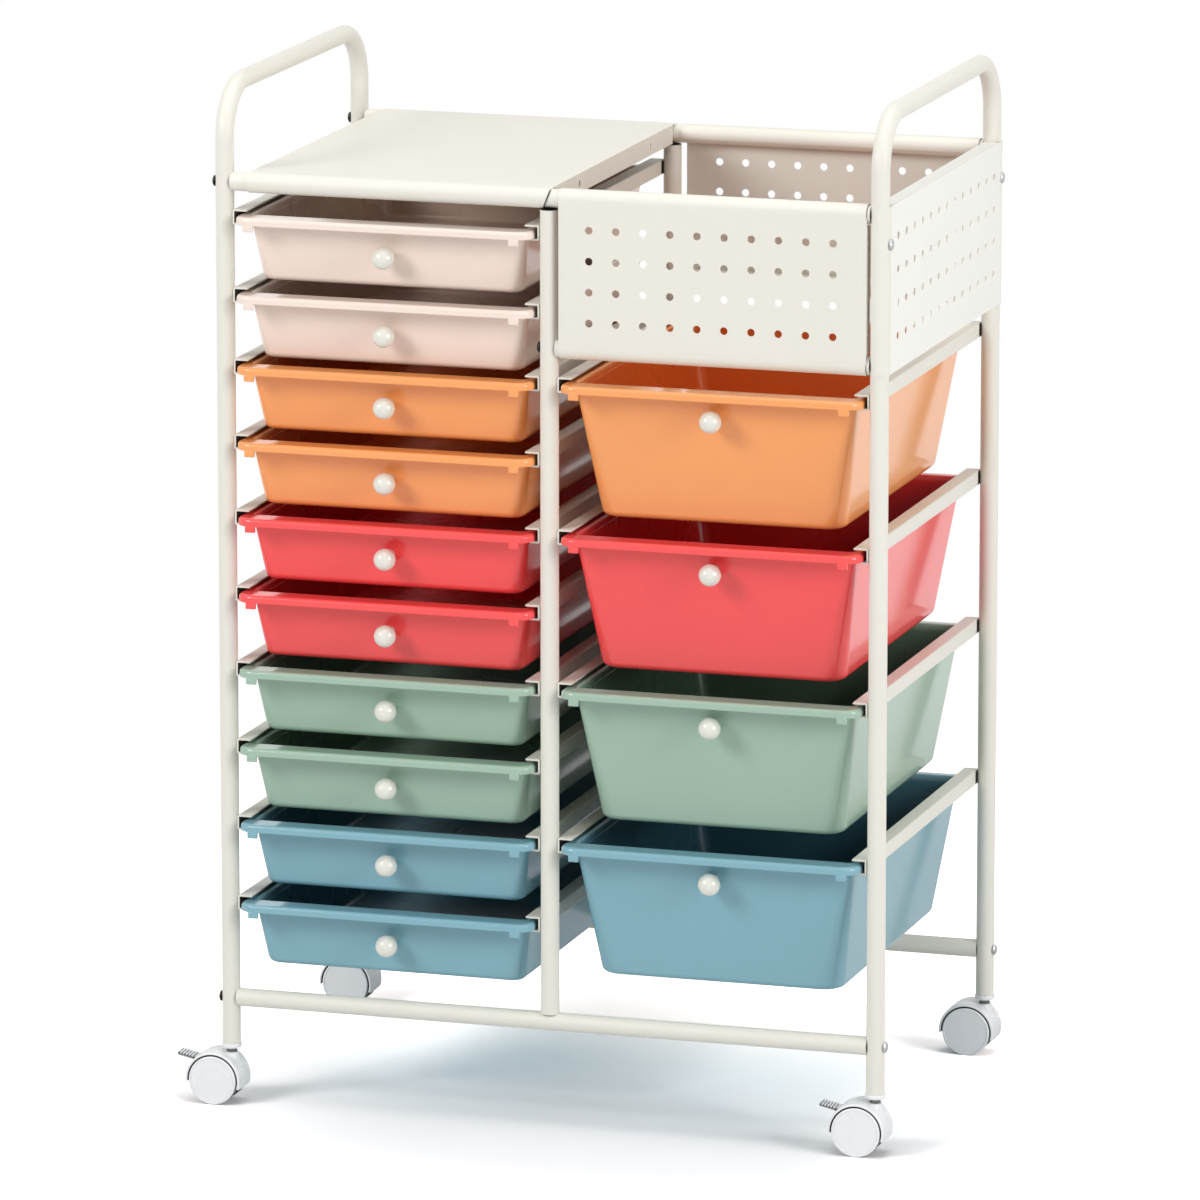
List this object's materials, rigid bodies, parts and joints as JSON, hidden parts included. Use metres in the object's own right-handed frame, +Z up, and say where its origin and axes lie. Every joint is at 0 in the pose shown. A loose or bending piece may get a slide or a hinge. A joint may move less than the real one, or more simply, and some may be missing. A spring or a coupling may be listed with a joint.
{
  "type": "rolling drawer cart",
  "caption": "Tube-framed rolling cart with columns of sliding plastic drawers, a perforated basket, a sheet top shelf, side handles and swivelling twin-wheel casters.",
  "frame": {"origin": "bottom centre of the whole cart's box, on the floor under the casters", "axes": "+X to the right as seen from the drawers' fronts, +Y to the back, +Z up"},
  "size_m": [0.6852, 0.4194, 0.9615],
  "materials": {
    "ivory_paint": "smooth powder coat, satin",
    "white_paint": "smooth powder coat, satin",
    "bolt_black": "black oxide, satin",
    "bolt_plated": "zinc plated, bright",
    "stem_steel": "zinc plated",
    "caster_plastic": "moulded, glossy",
    "knob_plastic": "moulded, glossy",
    "pink_plastic": "tinted translucent, glossy",
    "orange_plastic": "tinted translucent, glossy",
    "coral_plastic": "tinted translucent, glossy",
    "sage_plastic": "tinted translucent, glossy",
    "blue_plastic": "tinted translucent, glossy"
  },
  "bodies": {
    "cart_frame": {"left_side_frame": "ivory_paint", "right_side_frame": "ivory_paint", "middle_posts": "ivory_paint", "bottom_tubes": "ivory_paint", "top_tubes": "ivory_paint", "panel_tubes": "ivory_paint", "top_shelf": "ivory_paint", "front_panel": "ivory_paint", "rear_panel": "ivory_paint", "side_panel": "white_paint", "left_rails": "ivory_paint", "middle_rails": "ivory_paint", "right_rails": "ivory_paint", "frame_bolts": "bolt_black", "plated_bolts": "bolt_plated", "post_plugs": "caster_plastic", "caster_stems": "stem_steel"},
    "shallow_drawer_01": {"shallow_drawer_01": "pink_plastic", "shallow_drawer_01_knob": "knob_plastic"},
    "shallow_drawer_02": {"shallow_drawer_02": "pink_plastic", "shallow_drawer_02_knob": "knob_plastic"},
    "shallow_drawer_03": {"shallow_drawer_03": "orange_plastic", "shallow_drawer_03_knob": "knob_plastic"},
    "shallow_drawer_04": {"shallow_drawer_04": "orange_plastic", "shallow_drawer_04_knob": "knob_plastic"},
    "shallow_drawer_05": {"shallow_drawer_05": "coral_plastic", "shallow_drawer_05_knob": "knob_plastic"},
    "shallow_drawer_06": {"shallow_drawer_06": "coral_plastic", "shallow_drawer_06_knob": "knob_plastic"},
    "shallow_drawer_07": {"shallow_drawer_07": "sage_plastic", "shallow_drawer_07_knob": "knob_plastic"},
    "shallow_drawer_08": {"shallow_drawer_08": "sage_plastic", "shallow_drawer_08_knob": "knob_plastic"},
    "shallow_drawer_09": {"shallow_drawer_09": "blue_plastic", "shallow_drawer_09_knob": "knob_plastic"},
    "shallow_drawer_10": {"shallow_drawer_10": "blue_plastic", "shallow_drawer_10_knob": "knob_plastic"},
    "deep_drawer_1": {"deep_drawer_1": "orange_plastic", "deep_drawer_1_knob": "knob_plastic"},
    "deep_drawer_2": {"deep_drawer_2": "coral_plastic", "deep_drawer_2_knob": "knob_plastic"},
    "deep_drawer_3": {"deep_drawer_3": "sage_plastic", "deep_drawer_3_knob": "knob_plastic"},
    "deep_drawer_4": {"deep_drawer_4": "blue_plastic", "deep_drawer_4_knob": "knob_plastic"},
    "caster_front_left": {"caster_hood_front_left": "caster_plastic"},
    "wheels_front_left": {"caster_wheels_front_left": "caster_plastic", "caster_axle_front_left": "stem_steel"},
    "brake_lever_front_left": {"brake_lever_front_left": "caster_plastic"},
    "caster_front_right": {"caster_hood_front_right": "caster_plastic"},
    "wheels_front_right": {"caster_wheels_front_right": "caster_plastic", "caster_axle_front_right": "stem_steel"},
    "brake_lever_front_right": {"brake_lever_front_right": "caster_plastic"},
    "caster_rear_left": {"caster_hood_rear_left": "caster_plastic"},
    "wheels_rear_left": {"caster_wheels_rear_left": "caster_plastic", "caster_axle_rear_left": "stem_steel"},
    "caster_rear_right": {"caster_hood_rear_right": "caster_plastic"},
    "wheels_rear_right": {"caster_wheels_rear_right": "caster_plastic", "caster_axle_rear_right": "stem_steel"}
  },
  "joints": [
    {"name": "shallow_drawer_01_slide", "type": "slide", "parent": "cart_frame", "child": "shallow_drawer_01", "axis": [0, -1, 0], "range_m": [0, 0.27]},
    {"name": "shallow_drawer_02_slide", "type": "slide", "parent": "cart_frame", "child": "shallow_drawer_02", "axis": [0, -1, 0], "range_m": [0, 0.27]},
    {"name": "shallow_drawer_03_slide", "type": "slide", "parent": "cart_frame", "child": "shallow_drawer_03", "axis": [0, -1, 0], "range_m": [0, 0.27]},
    {"name": "shallow_drawer_04_slide", "type": "slide", "parent": "cart_frame", "child": "shallow_drawer_04", "axis": [0, -1, 0], "range_m": [0, 0.27]},
    {"name": "shallow_drawer_05_slide", "type": "slide", "parent": "cart_frame", "child": "shallow_drawer_05", "axis": [0, -1, 0], "range_m": [0, 0.27]},
    {"name": "shallow_drawer_06_slide", "type": "slide", "parent": "cart_frame", "child": "shallow_drawer_06", "axis": [0, -1, 0], "range_m": [0, 0.27]},
    {"name": "shallow_drawer_07_slide", "type": "slide", "parent": "cart_frame", "child": "shallow_drawer_07", "axis": [0, -1, 0], "range_m": [0, 0.27]},
    {"name": "shallow_drawer_08_slide", "type": "slide", "parent": "cart_frame", "child": "shallow_drawer_08", "axis": [0, -1, 0], "range_m": [0, 0.27]},
    {"name": "shallow_drawer_09_slide", "type": "slide", "parent": "cart_frame", "child": "shallow_drawer_09", "axis": [0, -1, 0], "range_m": [0, 0.27]},
    {"name": "shallow_drawer_10_slide", "type": "slide", "parent": "cart_frame", "child": "shallow_drawer_10", "axis": [0, -1, 0], "range_m": [0, 0.27]},
    {"name": "deep_drawer_1_slide", "type": "slide", "parent": "cart_frame", "child": "deep_drawer_1", "axis": [0, -1, 0], "range_m": [0, 0.27]},
    {"name": "deep_drawer_2_slide", "type": "slide", "parent": "cart_frame", "child": "deep_drawer_2", "axis": [0, -1, 0], "range_m": [0, 0.27]},
    {"name": "deep_drawer_3_slide", "type": "slide", "parent": "cart_frame", "child": "deep_drawer_3", "axis": [0, -1, 0], "range_m": [0, 0.27]},
    {"name": "deep_drawer_4_slide", "type": "slide", "parent": "cart_frame", "child": "deep_drawer_4", "axis": [0, -1, 0], "range_m": [0, 0.27]},
    {"name": "caster_swivel_front_left", "type": "hinge", "parent": "cart_frame", "child": "caster_front_left", "pos_m": [-0.29054, -0.18975, 0.0483], "axis": [0, 0, 1], "continuous": true},
    {"name": "wheel_roll_front_left", "type": "hinge", "parent": "caster_front_left", "child": "wheels_front_left", "pos_m": [-0.30454, -0.18975, 0.023], "axis": [0, 1, 0], "continuous": true},
    {"name": "brake_press_front_left", "type": "hinge", "parent": "caster_front_left", "child": "brake_lever_front_left", "pos_m": [-0.32371, -0.18975, 0.04026], "axis": [0, -1, 0], "range_deg": [0, 20]},
    {"name": "caster_swivel_front_right", "type": "hinge", "parent": "cart_frame", "child": "caster_front_right", "pos_m": [0.32946, -0.18975, 0.0483], "axis": [0, 0, 1], "continuous": true},
    {"name": "wheel_roll_front_right", "type": "hinge", "parent": "caster_front_right", "child": "wheels_front_right", "pos_m": [0.31546, -0.18975, 0.023], "axis": [0, 1, 0], "continuous": true},
    {"name": "brake_press_front_right", "type": "hinge", "parent": "caster_front_right", "child": "brake_lever_front_right", "pos_m": [0.29629, -0.18975, 0.04026], "axis": [0, -1, 0], "range_deg": [0, 20]},
    {"name": "caster_swivel_rear_left", "type": "hinge", "parent": "cart_frame", "child": "caster_rear_left", "pos_m": [-0.29054, 0.19225, 0.0483], "axis": [0, 0, 1], "continuous": true},
    {"name": "wheel_roll_rear_left", "type": "hinge", "parent": "caster_rear_left", "child": "wheels_rear_left", "pos_m": [-0.30454, 0.19225, 0.023], "axis": [0, 1, 0], "continuous": true},
    {"name": "caster_swivel_rear_right", "type": "hinge", "parent": "cart_frame", "child": "caster_rear_right", "pos_m": [0.32946, 0.19225, 0.0483], "axis": [0, 0, 1], "continuous": true},
    {"name": "wheel_roll_rear_right", "type": "hinge", "parent": "caster_rear_right", "child": "wheels_rear_right", "pos_m": [0.31546, 0.19225, 0.023], "axis": [0, 1, 0], "continuous": true}
  ]
}
